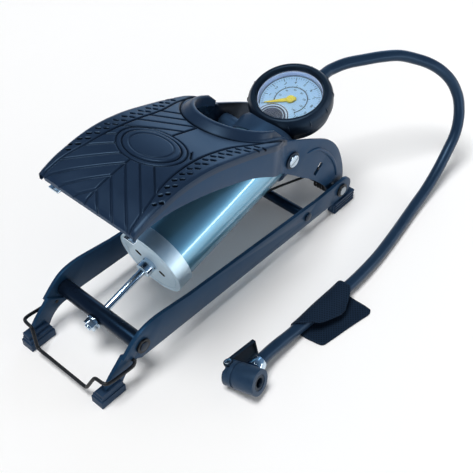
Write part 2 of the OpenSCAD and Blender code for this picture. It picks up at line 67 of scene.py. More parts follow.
# %% [markdown]
# ## The camera
#
# The lens is long, so the pump keeps its parallel lines, and it looks down at 45 degrees
# from the front left corner. The focal length in pixels turns into millimetres on a 36 mm
# sensor.

# %% Camera
PIXELS = 473
FOCAL_PIXELS = 920.2
AZIMUTH = radians(-48.468)
ELEVATION = radians(45.009)
EYE = Vector((-0.37934, -0.37548, 0.56666))
lens = bpy.data.cameras.new("camera")
lens.sensor_width = 36
lens.lens = FOCAL_PIXELS / PIXELS * lens.sensor_width
lens.clip_start, lens.clip_end = 0.05, 20
camera = bpy.data.objects.new("camera", lens)
scene.collection.objects.link(camera)
camera.matrix_world = (Matrix.Translation(EYE) @ Matrix.Rotation(AZIMUTH, 4, "Z")
                       @ Matrix.Rotation(pi / 2 - ELEVATION, 4, "X"))
scene.camera = camera
print("lens", round(lens.lens, 2), "mm")

# %% [markdown]
# ## Small tools
#
# A few helpers make nearly every piece. `add_piece` turns points and faces into an object,
# `curve_through` draws a smooth line, `tube` sweeps a circle along a line without twisting
# it, and `lathe` spins a profile round an axis.

# %% Helpers for meshes
@contextmanager
def edited(mesh):
    """Lends a mesh as a BMesh and writes it back."""
    shape = bmesh.new()
    shape.from_mesh(mesh)
    yield shape
    shape.to_mesh(mesh)
    shape.free()


def link(name, data):
    """A new object in the scene."""
    piece = bpy.data.objects.new(name, data)
    scene.collection.objects.link(piece)
    return piece


def tidy_normals(mesh, smooth=True, sharp_angle=32, recalculate=True):
    """Points the faces outward and marks the edges that stay crisp."""
    with edited(mesh) as shape:
        if recalculate:
            bmesh.ops.recalc_face_normals(shape, faces=shape.faces)
        for face in shape.faces:
            face.smooth = smooth
        for edge in shape.edges:
            if len(edge.link_faces) == 2:
                edge.smooth = edge.calc_face_angle() < radians(sharp_angle)


def new_mesh(name, points, faces):
    mesh = bpy.data.meshes.new(name)
    mesh.from_pydata([tuple(p) for p in points], [], faces)
    return mesh


def add_piece(name, points, faces, smooth=True, sharp_angle=32):
    mesh = new_mesh(name, points, faces)
    tidy_normals(mesh, smooth, sharp_angle)
    return link(name, mesh)


def merged(parts):
    """Several pairs of points and faces as one pair."""
    points, faces = [], []
    for more, sides in parts:
        faces += [tuple(c + len(points) for c in face) for face in sides]
        points += more
    return points, faces


def curve_through(points, steps):
    """A Catmull-Rom line through the points, with steps from each point to the next."""
    p = [np.array(q, float) for q in points]
    line = []
    for i in range(len(p) - 1):
        a, b, c, d = p[max(i - 1, 0)], p[i], p[i + 1], p[min(i + 2, len(p) - 1)]
        for j in range(steps):
            t = j / steps
            line.append(0.5 * (2 * b + (c - a) * t + (2 * a - 5 * b + 4 * c - d) * t * t
                               + (3 * b - a - 3 * c + d) * t ** 3))
    return np.array(line + [p[-1]])


def length_of(line):
    return float(norm(np.diff(line, axis=0), axis=1).sum())


def circle(count):
    """The cosine and sine of even steps round a circle."""
    angles = [2 * pi * k / count for k in range(count)]
    return [(cos(a), sin(a)) for a in angles]


def tube_mesh(line, radius, sides, side=(0, 0, 1)):
    """Points and faces of a closed tube; radius may change along the line."""
    line = np.array(line, float)
    radii = np.broadcast_to(radius, len(line))
    ahead = np.gradient(line, axis=0)
    ahead /= norm(ahead, axis=1)[:, None]
    across = np.array(side, float)
    points, faces = [], []
    for centre, heading, r in zip(line, ahead, radii):
        across = across - heading * (across @ heading)
        across /= norm(across)
        other = np.cross(heading, across)
        points += [centre + r * (c * across + s * other) for c, s in circle(sides)]
    for i in range(len(line) - 1):
        for k in range(sides):
            a, b = i * sides + k, i * sides + (k + 1) % sides
            faces.append((a, b, b + sides, a + sides))
    last = (len(line) - 1) * sides
    return points, faces + [tuple(range(sides))[::-1], tuple(range(last, last + sides))]


def grid_mesh(rows, keep=lambda point: True):
    """Points and faces of a grid in millimetres, without the faces that keep turns down."""
    points = [Vector(p) * MM for row in rows for p in row]
    wide = len(rows[0])
    starts = [i * wide + k for i in range(len(rows) - 1) for k in range(wide - 1)]
    return points, [(a, a + 1, a + wide + 1, a + wide) for a in starts if keep(points[a] / MM)]


def prism(outline, low, high):
    """Points and faces of a flat plate whose corners are given as x and y."""
    n = len(outline)
    walls = [(k, (k + 1) % n, n + (k + 1) % n, n + k) for k in range(n)]
    return ([Vector((x, y, h)) for h in (low, high) for x, y in outline],
            walls + [tuple(range(n))[::-1], tuple(range(n, 2 * n))])


def tube(name, line, radius, sides, side=(0, 0, 1)):
    return add_piece(name, *tube_mesh(line, radius, sides, side))


def lathe(name, profile, place, segments):
    """Spins (radius, height) pairs round the z axis of the matrix place."""
    points, faces = [], []
    n = len(profile)
    for c, s in circle(segments):
        points += [place @ Vector((r * c, r * s, h)) for r, h in profile]
    for k in range(segments):
        m = (k + 1) % segments
        for i in range(n):
            j = (i + 1) % n
            faces.append((k * n + i, m * n + i, m * n + j, k * n + j))
    piece = add_piece(name, points, faces)
    with edited(piece.data) as shape:
        bmesh.ops.remove_doubles(shape, verts=shape.verts, dist=1e-7)
        bmesh.ops.dissolve_degenerate(shape, edges=shape.edges, dist=1e-7)
        bmesh.ops.holes_fill(shape, edges=shape.edges, sides=0)
    tidy_normals(piece.data)
    return piece


def rounded(corners, radius, steps):
    """A profile's corners, each turned into a small arc. A corner may give its own radius."""
    line = []
    spots = [np.array(corner[:2], float) for corner in corners]
    for i, (here, corner) in enumerate(zip(spots, corners)):
        r = corner[2] if len(corner) > 2 else radius
        before = spots[i - 1] - here
        after = spots[(i + 1) % len(spots)] - here
        reach = min(r, 0.45 * norm(before), 0.45 * norm(after))
        a = here + before / norm(before) * reach
        b = here + after / norm(after) * reach
        if reach < 1e-7:
            line.append(tuple(here))
            continue
        for j in range(steps + 1):
            t = j / steps
            line.append(tuple((1 - t) ** 2 * a + 2 * t * (1 - t) * here + t * t * b))
    return line

# %% [markdown]
# A CAD solid has knife-sharp edges, and real sheet steel and mouldings never do. `dress`
# copies a CAD node, merges its loose triangles and rounds its sharp edges, so that they
# catch a thin line of light. The copy stands for the node and rides on the same body.
# `put_in_place` ends most pieces: it gives the finish, the body that the piece moves with
# and the CAD nodes that it replaces.

# %% Helper that rounds a CAD node's edges
body_of = {n: b for b, names in frame["record"]["behaviour"]["bodies"].items() for n in names}
slot_of = {s["node"]: s["material_slot"] for s in frame["record"]["subparts"]}
SHARP_EDGE, NEARLY_FLAT, SAME_PLACE = radians(34), radians(0.4), 2e-6


def coat_with(material, *pieces):
    for piece in pieces:
        piece.data.materials.clear()
        piece.data.materials.append(material)


def put_in_place(piece, material, body, slot, *replaced):
    coat_with(material, piece)
    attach(piece, body)
    if replaced:
        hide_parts(*replaced)


def dress(name, material, width, segments=2):
    """A CAD node's copy with edges rounded by width millimetres."""
    mesh = nodes[name].data.copy()
    with edited(mesh) as shape:
        bmesh.ops.remove_doubles(shape, verts=shape.verts, dist=SAME_PLACE)
        bmesh.ops.dissolve_limit(shape, angle_limit=NEARLY_FLAT,
                                 verts=shape.verts, edges=shape.edges)
        sharp = [e for e in shape.edges
                 if len(e.link_faces) == 2 and e.calc_face_angle() > SHARP_EDGE]
        bmesh.ops.bevel(shape, geom=sharp, offset=width * MM, segments=segments, profile=0.5,
                        affect="EDGES", clamp_overlap=True)
        bmesh.ops.triangulate(shape, faces=[f for f in shape.faces if len(f.verts) > 4])
    mesh.name = name + "_body"
    tidy_normals(mesh, recalculate=False)
    piece = link(mesh.name, mesh)
    put_in_place(piece, material, body_of[name], slot_of[name], name)
    return piece

# %% [markdown]
# ## Materials
#
# Each finish is a small node tree, and `node` adds one node to it. A colour is written as
# on a paint card, in sRGB, and `linear` turns it into light. Constants sit on the shader's
# own sockets, and only what varies comes through nodes.

# %% Helpers for materials
def linear(card):
    part = [int(card[i:i + 2], 16) / 255 for i in (1, 3, 5)]
    return [c / 12.92 if c <= 0.04045 else ((c + 0.055) / 1.055) ** 2.4 for c in part] + [1.0]


def node(tree, kind, sockets=None, **settings):
    new = tree.nodes.new(kind)
    for name, value in settings.items():
        setattr(new, name, value)
    for key, value in (sockets or {}).items():
        if isinstance(value, bpy.types.NodeSocket):
            tree.links.new(value, new.inputs[key])
        else:
            new.inputs[key].default_value = value
    return new


def calc(tree, operation, *parts):
    """One Math node; the result's socket."""
    return node(tree, "ShaderNodeMath", dict(enumerate(parts)), operation=operation).outputs[0]


def mixed(tree, share, low, high):
    """A colour: low where share is 0, high where it is 1."""
    return node(tree, "ShaderNodeMix", {0: share, 6: low, 7: high}, data_type="RGBA").outputs[2]


def noise(tree, place, size, **more):
    """Soft blobs of about this size in metres, from 0 to 1."""
    return node(tree, "ShaderNodeTexNoise",
                {"Vector": place, "Scale": 1 / size, **more}).outputs["Fac"]


def waves(tree, place, way, scale, distortion, **more):
    """Parallel ridges across one axis, more or less wavy."""
    return node(tree, "ShaderNodeTexWave",
                {"Vector": place, "Scale": scale, "Distortion": distortion, **more},
                wave_type="BANDS", bands_direction=way).outputs["Fac"]


def new_material(name):
    """An empty material, its tree, and the point on the object in metres."""
    material = bpy.data.materials.new(name)
    material.use_nodes = True
    material.node_tree.nodes.clear()
    place = node(material.node_tree, "ShaderNodeTexCoord").outputs["Object"]
    return material, material.node_tree, place


def finish(name, low, high, rough, patch_mm, grain_mm, bump_mm, steps=None, **shader):
    """A finish whose colour drifts from low to high in patches, with a fine grain.

    rough is (least, most) and bump_mm is the grain's height. steps may change height and
    colour, and shader fills Principled sockets."""
    material, tree, place = new_material(name)
    patches = noise(tree, place, patch_mm * MM, Detail=4.0, Roughness=0.6)
    height = noise(tree, place, grain_mm * MM, Detail=3.0)
    colour = mixed(tree, patches, linear(low), linear(high))
    dull = node(tree, "ShaderNodeMapRange",
                {"Value": patches, "From Min": 0.3, "From Max": 0.7,
                 "To Min": rough[0], "To Max": rough[1]})
    if steps:
        height, colour = steps(tree, place, height, colour)
    bump = node(tree, "ShaderNodeBump",
                {"Height": height, "Distance": bump_mm * MM, "Strength": 0.6})
    surface = node(tree, "ShaderNodeBsdfPrincipled",
                   {"Base Color": colour, "Roughness": dull.outputs["Result"],
                    "Normal": bump.outputs["Normal"], **shader})
    node(tree, "ShaderNodeOutputMaterial", {"Surface": surface.outputs["BSDF"]})
    return material

# %% [markdown]
# ### Metals and paints
#
# Sheet steel is sprayed and stoved, which leaves a faint orange peel under a soft gloss.
# The barrel has a metallic paint with a clear coat, so a lamp shows as one long bright
# stripe. Zinc plate is bright and slightly milky, with fine polishing marks. A row holds a
# name, two colours, the roughness, and the size of patches, grain and bumps in mm.

# %% Paints, zinc, steel and brass
SATIN = {"Specular IOR Level": 0.4, "Specular Tint": linear("#6fadea")}
rail_paint, black_paint_and_shade, pedal_paint, cast_paint = (finish(*look, **SATIN) for look in (
    # Rails: deep blue with a soft gloss.
    ("stoved_navy_paint", "#142c44", "#1a3650", (0.32, 0.42), 26, 1.6, 0.012),
    # Tubes: nearly black, so they stay in the background; on the pedal's inward and downward
    # faces it is painted shade.
    ("stoved_black_paint_and_shade", "#090f18", "#0e1623", (0.26, 0.34), 26, 1.6, 0.012),
    # Pedal: a lighter blue that sets it off from the rails.
    ("stoved_slate_blue_paint", "#1a324c", "#213e5b", (0.34, 0.46), 30, 1.4, 0.012),
    # Cylinder head: duller, with the coarse skin of a casting.
    ("painted_die_casting", "#1f3045", "#2b3f57", (0.38, 0.5), 14, 1.1, 0.03)))
# Barrel: a pale metallic sheen under a hard clear gloss.
barrel_paint = finish("metallic_blue_barrel_paint", "#6da5c1", "#77afcb", (0.34, 0.38), 40, 0.8,
                      0.0, **{"Metallic": 0.8, "Coat Weight": 1.0, "Coat IOR": 1.7,
                              "Coat Roughness": 0.03})


def polishing(tree, place, height, colour):
    """Adds the fine wavy lines that a polishing wheel leaves."""
    lines = waves(tree, place, "Y", 260.0, 9.0, **{"Detail": 3.0, "Detail Scale": 1.5})
    return calc(tree, "ADD", height, lines), colour


METAL = {"Metallic": 1.0}
zinc, turned_steel, brass = (finish(*look, steps=polishing, **METAL) for look in (
    # Rod, nut, studs and ferrule: bright glints, broken up by polishing.
    ("bright_zinc_plate", "#b4c9dc", "#d8e6f0", (0.12, 0.24), 12, 0.7, 0.008),
    # Pivot shaft: greyer and duller.
    ("turned_steel", "#8b949c", "#a3abb2", (0.25, 0.35), 8, 0.5, 0.01),
    # Hose nipple and gauge movement: a warm note.
    ("turned_brass", "#a98b45", "#c2a765", (0.22, 0.34), 6, 0.5, 0.008)))
# The cap's flat faces: milky, so they look evenly bright from every side.
satin_zinc = finish("satin_zinc_plate", "#c6e4f6", "#dcf1ff", (0.3, 0.42), 16, 0.8, 0.008,
                    steps=polishing, **{"Metallic": 0.1})
# The cap's rolled side: rougher, with broad soft bands of light.
rolled_zinc = finish("rolled_zinc_plate", "#c8e3f2", "#e6f6fd", (0.46, 0.54), 5, 0.7, 0.004,
                     **METAL)
# Spring, lock wire and clips: black, with one thin highlight along the wire.
black_steel = finish("blackened_spring_steel", "#04060a", "#090d14", (0.36, 0.48), 6, 0.6, 0.01,
                     **{"Specular IOR Level": 0.35})

# %% [markdown]
# ### Rubber, plastic and nylon
#
# Moulded rubber copies the spark-eroded skin of its mould, a grain of about half a
# millimetre. The tread's grooves are painted darker as shade, and their gloss fades in them.
# Rubber's IOR is about 1.52, nylon's 1.53 and ABS's 1.54.

# %% Rubbers and plastics
def painted_groove_shade(tree, place, height, colour):
    """Painted shade: mixes towards black where the mesh's own groove attribute says a point lies
    deep.
    """
    depth = node(tree, "ShaderNodeAttribute", attribute_name="groove").outputs["Fac"]
    return height, mixed(tree, depth, colour, linear("#03070e"))


RUBBER = {"IOR": 1.52, "Specular IOR Level": 0.4, "Specular Tint": linear("#9fc8f0")}
# Tread: blue-black, and glossy enough that the edges of its grooves draw lines.
tread_rubber = finish("moulded_tread_rubber", "#172437", "#1f2f45", (0.32, 0.4), 34, 0.9, 0.02,
                      steps=painted_groove_shade, **RUBBER)
tread_tree = tread_rubber.node_tree
depth = node(tread_tree, "ShaderNodeAttribute", attribute_name="groove").outputs["Fac"]
gloss = node(tread_tree, "ShaderNodeMapRange",
             {"Value": depth, "To Min": RUBBER["Specular IOR Level"], "To Max": 0.0})
tread_tree.links.new(gloss.outputs["Result"],
                     tread_tree.nodes["Principled BSDF"].inputs["Specular IOR Level"])
boot_rubber, foot_rubber, hose_rubber = (finish(*look, **RUBBER) for look in (
    # Gauge boot and seals: the blackest rubber, which frames the pale dial.
    ("moulded_boot_rubber", "#0b131e", "#121d2b", (0.34, 0.46), 16, 0.7, 0.02),
    # Feet: dull and scuffed.
    ("moulded_foot_rubber", "#15253a", "#21354e", (0.5, 0.64), 9, 0.8, 0.04),
    # Hose: smooth from the die, with a long highlight that follows its bends.
    ("extruded_hose_rubber", "#152436", "#1e3147", (0.28, 0.38), 22, 0.6, 0.01)))
NYLON = {**RUBBER, "IOR": 1.53}
chuck_plastic, lever_plastic = (finish(*look, **NYLON) for look in (
    # Chuck: hard and slightly cloudy, from the glass in it.
    ("glass_filled_nylon", "#1d2e42", "#283c53", (0.34, 0.46), 9, 0.6, 0.02),
    # Thumb lever: plain black, so it reads as a part of its own.
    ("black_nylon", "#0b121c", "#141e2c", (0.34, 0.46), 9, 0.6, 0.02)))
# Gauge case and stud rings: an even black with a soft shine.
case_plastic = finish("moulded_abs", "#0f1622", "#16202f", (0.3, 0.4), 14, 0.6, 0.015,
                      **{**RUBBER, "IOR": 1.54})
# Piston: the warm off-white of undyed nylon.
natural_nylon = finish("natural_nylon", "#cfc9b6", "#ded8c6", (0.4, 0.5), 10, 0.5, 0.01, IOR=1.53)
print("materials:", len(bpy.data.materials))

# %% [markdown]
# ## The hose
#
# The hose is 10 mm rubber, stiff enough to arch up behind the gauge before it falls to the
# floor. It follows the CAD model's route. Near the gauge it moves with the cylinder, in the
# air with the rod, and on the floor not at all. So it is made as two lengths that meet in
# the arch.

# %% Hose
hose_route = [
    (149, 0, 111), (157, 0, 111), (166, 0, 111), (181, -5, 112), (197, -14, 112),
    (212, -22, 111), (227, -30, 108), (240, -39, 102), (250, -48, 96), (258, -57, 88),
    (263, -66, 78), (264, -74, 66), (262, -79, 55), (257, -83, 45), (249, -86, 35),
    (236, -88, 25), (218, -91, 16), (197, -94, 9), (174, -97, 6), (150, -101, 5),
    (126, -105, 5), (105, -108, 5), (84, -110, 6), (62, -111, 7), (40, -110, 7),
    (20, -109, 7), (0, -108, 7), (-15, -108, 8), (-28, -108, 10), (-39, -108, 11),
    (-48, -108.7, 12), (-56.4, -110, 12.6)]
HOSE_WIDE = 10 * MM
STEPS = 6
MEET = 6
hose_line = curve_through(hose_route, STEPS) * MM
upper_line = hose_line[:MEET * STEPS + 1]
lower_line = hose_line[MEET * STEPS:]
hose_upper = tube("hose_upper", upper_line, HOSE_WIDE / 2, 24)
hose_lower = tube("hose", lower_line, HOSE_WIDE / 2, 24)
coat_with(hose_rubber, hose_upper, hose_lower)
for piece, line in ((hose_upper, upper_line), (hose_lower, lower_line)):
    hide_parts("hose")
    print(piece.name, "is", round(length_of(line), 3), "m long")
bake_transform(hose_upper)
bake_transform(hose_lower)

# %% [markdown]
# ## The strap on the hose
#
# A patch of coated webbing is wrapped once round the hose, with a rounded flap on top and a
# wider leaf below. It is a sheet, so it is drawn as one: each row gives a point of its
# section across the hose and where its two side edges are there.

# %% Strap
strap_rows = [          # y, height, x of the front edge, x of the rear edge
    (-138.4, 1.0, 46.5, 49.5), (-137, 1.0, 39.5, 52.4), (-134.5, 1.0, 25, 53),
    (-131.5, 1.0, 5.5, 53.2), (-129.4, 1.0, -1.2, 53.3), (-121, 1.1, -3.4, 53),
    (-112, 1.2, -4.6, 53.5), (-106, 1.9, -5, 54), (-102.6, 5, -6, 53), (-102.6, 9, -6, 53),
    (-105.5, 12.4, -6, 53), (-110, 13.6, -3, 53), (-115, 12.9, 3, 53), (-120, 10.9, 10, 46),
    (-125.4, 8.6, 28, 33)]
STRAP_THICK = 1.2 * MM
SECTION_STEPS, ACROSS = 5, 28


def strap_sheet():
    """The sheet's mesh, its flat length and its area, from the rows above."""
    line = curve_through(strap_rows, SECTION_STEPS)
    rows = []
    for i, (y, z, front, rear) in enumerate(line):
        row = []
        for t in np.linspace(0, 1, ACROSS + 1):
            ripple = 0.35 * sin(9 * t + 0.35 * i) * (z > 1.5)
            row.append((front + (rear - front) * t, y, max(z + ripple, 0.7)))
        rows.append(row)
    steps = norm(np.diff(line[:, :2], axis=0), axis=1) * MM
    wide = (line[:, 3] - line[:, 2]) * MM
    area = float(((wide[:-1] + wide[1:]) / 2 * steps).sum())
    return grid_mesh(rows), float(steps.sum()), area


strap_mesh, strap_long, strap_area = strap_sheet()
strap = add_piece("hose_strap_sheet", *strap_mesh, sharp_angle=60)
wall = strap.modifiers.new("wall", "SOLIDIFY")
wall.thickness, wall.offset = STRAP_THICK, 0


def webbing_weave(tree, place, height, colour):
    """Two crossed sets of ridges; the gaps between the threads are painted darker as shade."""
    turned = node(tree, "ShaderNodeMapping", {"Vector": place, "Rotation": (0.0, 0.0, 0.9)})
    warp, weft = (waves(tree, turned.outputs["Vector"], way, 160.0, 0.6) for way in "XY")
    both = calc(tree, "MAXIMUM", warp, weft)
    return both, mixed(tree, both, linear("#080e17"), colour)


# Strap: matt and ribbed, so it looks soft beside the hose.
webbing = finish("coated_polyester_webbing", "#141f2e", "#1b2a3d", (0.55, 0.7), 12, 0.8, 0.12,
                 steps=webbing_weave, **{**RUBBER, "Specular IOR Level": 0.15})
put_in_place(strap, webbing, "frame", "webbing", "hose_strap")
print("strap", round(strap_long, 4), "m long, area", round(strap_area, 5))

# %% [markdown]
# ## The chuck
#
# The chuck is a moulded body with a rubber seal in its mouth and a thumb lever whose cam
# squeezes the seal on the tyre's valve. The CAD pieces have the right shape, so they only
# need soft edges and a finish.

# %% Chuck and ferrule
chuck_body = dress("chuck_body", chuck_plastic, 0.9, 3)
chuck_cap = dress("chuck_cap", chuck_plastic, 1.1, 3)
chuck_seal = dress("chuck_seal", boot_rubber, 0.5)
chuck_lever = dress("chuck_lever", lever_plastic, 0.7, 3)
lever_cam = dress("lever_cam", zinc, 0.5)
lever_pin = dress("lever_pin", zinc, 0.3)
hose_ferrule = dress("hose_ferrule", zinc, 0.8, 3)

round(length_of(upper_line), 3)
round(length_of(lower_line), 3)

# %% [markdown]
# ## The pedal
#
# The pedal is one steel pressing with a rubber tread moulded over it. The pressing comes
# from the CAD model with its edges rounded. Its outside is slate blue; the faces that point
# inward or down are painted near-black as shade. A rib is pressed outward in each cheek,
# from the stud to the hinge, which stiffens it.

# %% Pedal pressing
pedal_shell = dress("pedal_shell", pedal_paint, 0.5)
# Painted shade: faces that point inward or down take the near-black paint.
pedal_shell.data.materials.append(black_paint_and_shade)
for face in pedal_shell.data.polygons:
    inward = face.normal.y * copysign(1, face.center.y) < -0.6
    face.material_index = int(inward or face.normal.z < -0.6)

RIB_HIGH = 1.5
rib_line = [(88, 88), (97, 86), (105, 82), (117, 70), (126, 57), (131, 45), (133, 35)]


def cheek_rib(name, side):
    points = [(x, side * 37.9, z) for x, z in rib_line]
    line = curve_through(points, 5) * MM
    swell = np.sin(np.linspace(0, pi, len(line))) ** 0.35
    rib = tube(name, line, (0.2 + RIB_HIGH * swell) * MM, 12, side=(0, 1, 0))
    put_in_place(rib, pedal_paint, "pedal", "painted_steel_blue")


cheek_rib("cheek_rib_left", 1)
cheek_rib("cheek_rib_right", -1)

# %% [markdown]
# ## The tread
#
# The foot rests on a rubber pad with a herringbone of grooves, two bands of small slots and
# an oval. It is made as a height field: a fine grid of points, where a rule says how deep
# each point lies. Bump alone would vanish at the edges and in an exported mesh.

# %% Tread: its outline and top line
tread_line = curve_through([(-109, 147), (-104, 149.3), (-90, 154), (-62, 158), (-34, 155.5),
                            (-8, 148.5), (18, 140), (40, 131.5), (52, 125.5), (62, 119)], 12)
TREAD_FRONT, TREAD_REAR = -109.0, 58.0
PLAQUE_X, OPENING_X, OPENING_R, LIP_GROOVE_R = -45, 44, 36, 42.5
OUTER_OVAL, INNER_OVAL, MIDDLE_OVAL = (20, 28), (16.5, 23.5), (12.5, 17.5)
WIDE, NARROW, NECK_FROM, NECK_TO = 47.5, 40.0, 34.0, 60.0
GROOVE_WIDE, GROOVE_DEEP = 1.3, 1.1
EDGE_IN, EDGE_DROP, FRONT_DROP = 0.35, 0.9, 1.2
GRID = 0.42
band_line = curve_through([(-112, 43.5), (-90, 40), (-70, 35.5), (-45, 33), (-20, 32.5),
                           (0, 34), (20, 39), (40, 41), (60, 41)], 8)
far_arms = [-98, -84, -70, -56, -41, -26.5, -12, 2, 15, 28]
near_arms = [-97, -83.5, -70, -56.5, -43]
ARM_ANGLE, OVAL_TURN = radians(46.5), radians(6)


def top_of(x):
    return np.interp(x, tread_line[:, 0], tread_line[:, 1])


def band_at(x):
    return np.interp(x, band_line[:, 0], band_line[:, 1])


def half_width(x):
    t = np.clip((x - NECK_FROM) / (NECK_TO - NECK_FROM), 0, 1)
    return WIDE - (WIDE - NARROW) * (1 - np.cos(pi * t)) / 2


def groove(distance, wide=GROOVE_WIDE):
    """1 in the middle of a groove, falling smoothly to 0 at its sides."""
    t = np.clip(1 - np.abs(distance) / wide, 0, 1)
    return t * t * (3 - 2 * t)


def oval(x, y, half_x, half_y):
    """Roughly the distance outside an oval round the plaque's centre, in millimetres."""
    u = (x - PLAQUE_X) * cos(OVAL_TURN) + y * sin(OVAL_TURN)
    v = -(x - PLAQUE_X) * sin(OVAL_TURN) + y * cos(OVAL_TURN)
    reach = np.sqrt((u / half_x) ** 2 + (v / half_y) ** 2)
    return (reach - 1) * min(half_x, half_y) * 1.15

# %% [markdown]
# Each kind of groove is the same soft dip at some distance from a line. The deepest dip
# wins where they meet, so crossings stay clean.

# %% Tread: its relief
SLOT_PITCH, SLOT_LONG, SLOT_WIDE = 8.0, 1.8, 0.9
SLOT_TURN = radians(-48)


def slots(x, y, line):
    """Two rows of small lozenges outside the groove of each band."""
    deep = np.zeros_like(x)
    for row, start in ((4.2, 0.0), (8.0, 0.5)):
        count = (x + 85) / SLOT_PITCH - start
        along = (count - np.round(count)) * SLOT_PITCH
        beside = y - np.sign(y) * (line + row - 0.4)
        u = np.abs(along * cos(SLOT_TURN) + beside * sin(SLOT_TURN)) / SLOT_LONG
        v = np.abs(beside * cos(SLOT_TURN) - along * sin(SLOT_TURN)) / SLOT_WIDE
        here = np.clip((1.35 - (u ** 3 + v ** 3) ** (1 / 3)) / 0.35, 0, 1)
        deep = np.maximum(deep, here * (x > -86) * (x < 24 + 3 * start) * (np.abs(y) > 20))
    return deep


def groove_depth(x, y):
    """How deep the pattern goes at a point, from 0 on the surface to 1."""
    line = band_at(x)
    inside = np.abs(y) < line - 0.4
    clear = oval(x, y, *OUTER_OVAL) > 0.5
    from_opening = np.hypot(x - OPENING_X, y) - LIP_GROOVE_R
    deep = groove(np.abs(y) - line)
    arms = np.zeros_like(x)
    for starts, side in ((far_arms, 1), (near_arms, -1)):
        on_side = (side * y > 0) | (np.abs(y) < 0.4)
        for start in starts:
            gap = (x - start) * sin(ARM_ANGLE) + side * y * cos(ARM_ANGLE)
            arms = np.maximum(arms, groove(gap) * on_side)
    spine = groove(y) * (x < 2)
    hook = groove((x + 36) * 0.62 - (y + 29) * 0.78) * (y < -24) * (x > -37) * (x < -26)
    deep = np.maximum(deep, np.maximum(np.maximum(arms, spine), hook)
                      * inside * clear * (from_opening > 1))
    for half, how_deep in ((OUTER_OVAL, 0.9), (INNER_OVAL, 0.9), (MIDDLE_OVAL, 0.4)):
        deep = np.maximum(deep, how_deep * groove(oval(x, y, *half), 1.0))
    deep = np.maximum(deep, groove(from_opening) * (x < 48))
    shallow = 0.4 + 0.6 * np.clip((x + 80) / 45, 0, 1)
    return np.maximum(deep, slots(x, y, line) * shallow)


def tread_relief(x, y):
    raised = 0.7 * (1 - np.clip(oval(x, y, *INNER_OVAL) / 1.5 + 1, 0, 1))
    return raised - GROOVE_DEEP * groove_depth(x, y)


def tread_pad():
    """The top as a grid whose sides roll down and tuck under."""
    xs = np.arange(TREAD_FRONT, TREAD_REAR + GRID / 2, GRID)
    across = np.linspace(-1, 1, int(2 * WIDE / GRID) + 1)
    rim = [(0.0, -0.25), (0.25, -0.8), (0.35, -2.6), (0.3, -5.0), (-0.4, -5.2), (-2.2, -4.8)]
    rows = []
    for x in xs:
        half = float(half_width(x)) - EDGE_IN
        y = across * half
        reach = np.clip((np.abs(y) - (half - 3.0)) / 3.0, 0, 1)
        front = max(0.0, (-105.5 - x) / 3.5)
        z = top_of(x) + tread_relief(np.full_like(y, x), y)
        z -= EDGE_DROP * reach ** 2 + FRONT_DROP * front ** 2
        right = [(x, half + out, top_of(x) - EDGE_DROP + down) for out, down in rim]
        left = [(x, -a, b) for x, a, b in right[::-1]]
        rows.append(left + [(x, a, b) for a, b in zip(y, z)] + right)
    return rows


def lip_profile(angle):
    """The lip's section, as pairs of distance from the opening's centre and height."""
    ahead = max(0.0, -cos(angle))
    outer = 37.2 + 6.2 * ahead ** 0.7
    rise = 4.6 + 1.6 * ahead
    return rounded([(32.4, -4.4, 0.2), (32.0, rise - 1.2, 0.6), (33.2, rise, 0.9),
                    (35.2 + 0.8 * ahead, rise - 0.5, 1.5), (outer - 1.4, 0.5, 2.4),
                    (outer, -0.6, 0.4), (outer - 1.0, -4.4, 0.2)], 0.6, 3)


def lip_ring():
    """A rubber lip round the opening, wide in front and narrow along the sides."""
    turn = [(OPENING_X, pi / 2 + pi * i / 96) for i in range(97)]
    stations = [(56.0 - 2.0 * i, pi / 2) for i in range(6)] + turn
    stations += [(46.0 + 2.0 * i, 3 * pi / 2) for i in range(6)]
    rows = []
    for x0, angle in stations:
        fade = min(1.0, (58.0 - x0) / 10.0)
        row = []
        for far, high in lip_profile(angle):
            x = x0 + far * cos(angle)
            high = high * fade if high > 0 else high
            row.append((x + 0.33 * high, far * sin(angle), float(top_of(x)) + 0.94 * high))
        rows.append(row + row[:1])
    return rows


def outside_opening(p):
    """True where the pad has rubber: the opening is round in front and open behind."""
    behind = p.x > OPENING_X and abs(p.y) < OPENING_R
    return hypot(p.x - OPENING_X, p.y) > OPENING_R and not behind


tread = add_piece("tread", *merged([grid_mesh(tread_pad(), outside_opening),
                                    grid_mesh(lip_ring())]), sharp_angle=50)
with edited(tread.data) as shape:
    bmesh.ops.remove_doubles(shape, verts=shape.verts, dist=1e-6)
    bmesh.ops.delete(shape, geom=[v for v in shape.verts if not v.link_faces], context="VERTS")
tidy_normals(tread.data, sharp_angle=50)
# Painted shade: the groove attribute darkens the grooves, the slots and the lip's foot, less
# towards the front.
px, py, pz = (np.array([v.co for v in tread.data.vertices]) / MM).T
on_top = (pz > top_of(px) - 2.6) & (np.abs(py) < half_width(px))
groove_shade_fade = np.clip((px + 95) / 50, 0.25, 1)
shade = groove_depth(px, py) * on_top * groove_shade_fade
shade = np.maximum(shade, slots(px, py, band_at(px)) * on_top)
tread.data.attributes.new("groove", "FLOAT", "POINT").data.foreach_set("value", shade)
put_in_place(tread, tread_rubber, "pedal", "tread_rubber", "tread_pad")
print("tread:", len(tread.data.polygons), "faces")

# %% [markdown]
# ## Studs and hooks
#
# The cylinder hangs between the cheeks on two plated studs, each in a black ring. Two small
# plated hooks under the front edge catch the lock wire when the pump is folded flat.

# %% Studs, rings and hooks
dress("barrel_studs", zinc, 0.9, 3)
dress("stud_rings", case_plastic, 0.3)
dress("lock_hooks", zinc, 0.4)

# %% [markdown]
# ## The cylinder
#
# The barrel is a drawn steel tube, painted and lacquered. Its front cap is a plated
# pressing, rolled over the tube. The frame gives the slope: the rod pivots on the front
# tube, and the cylinder's centre line climbs from there towards the gauge.

# %% The cylinder's centre line
TILT = radians(14.3)
TUBE_AT = Vector((-0.110, 0, 0.033))
along = Vector((cos(TILT), 0, sin(TILT)))


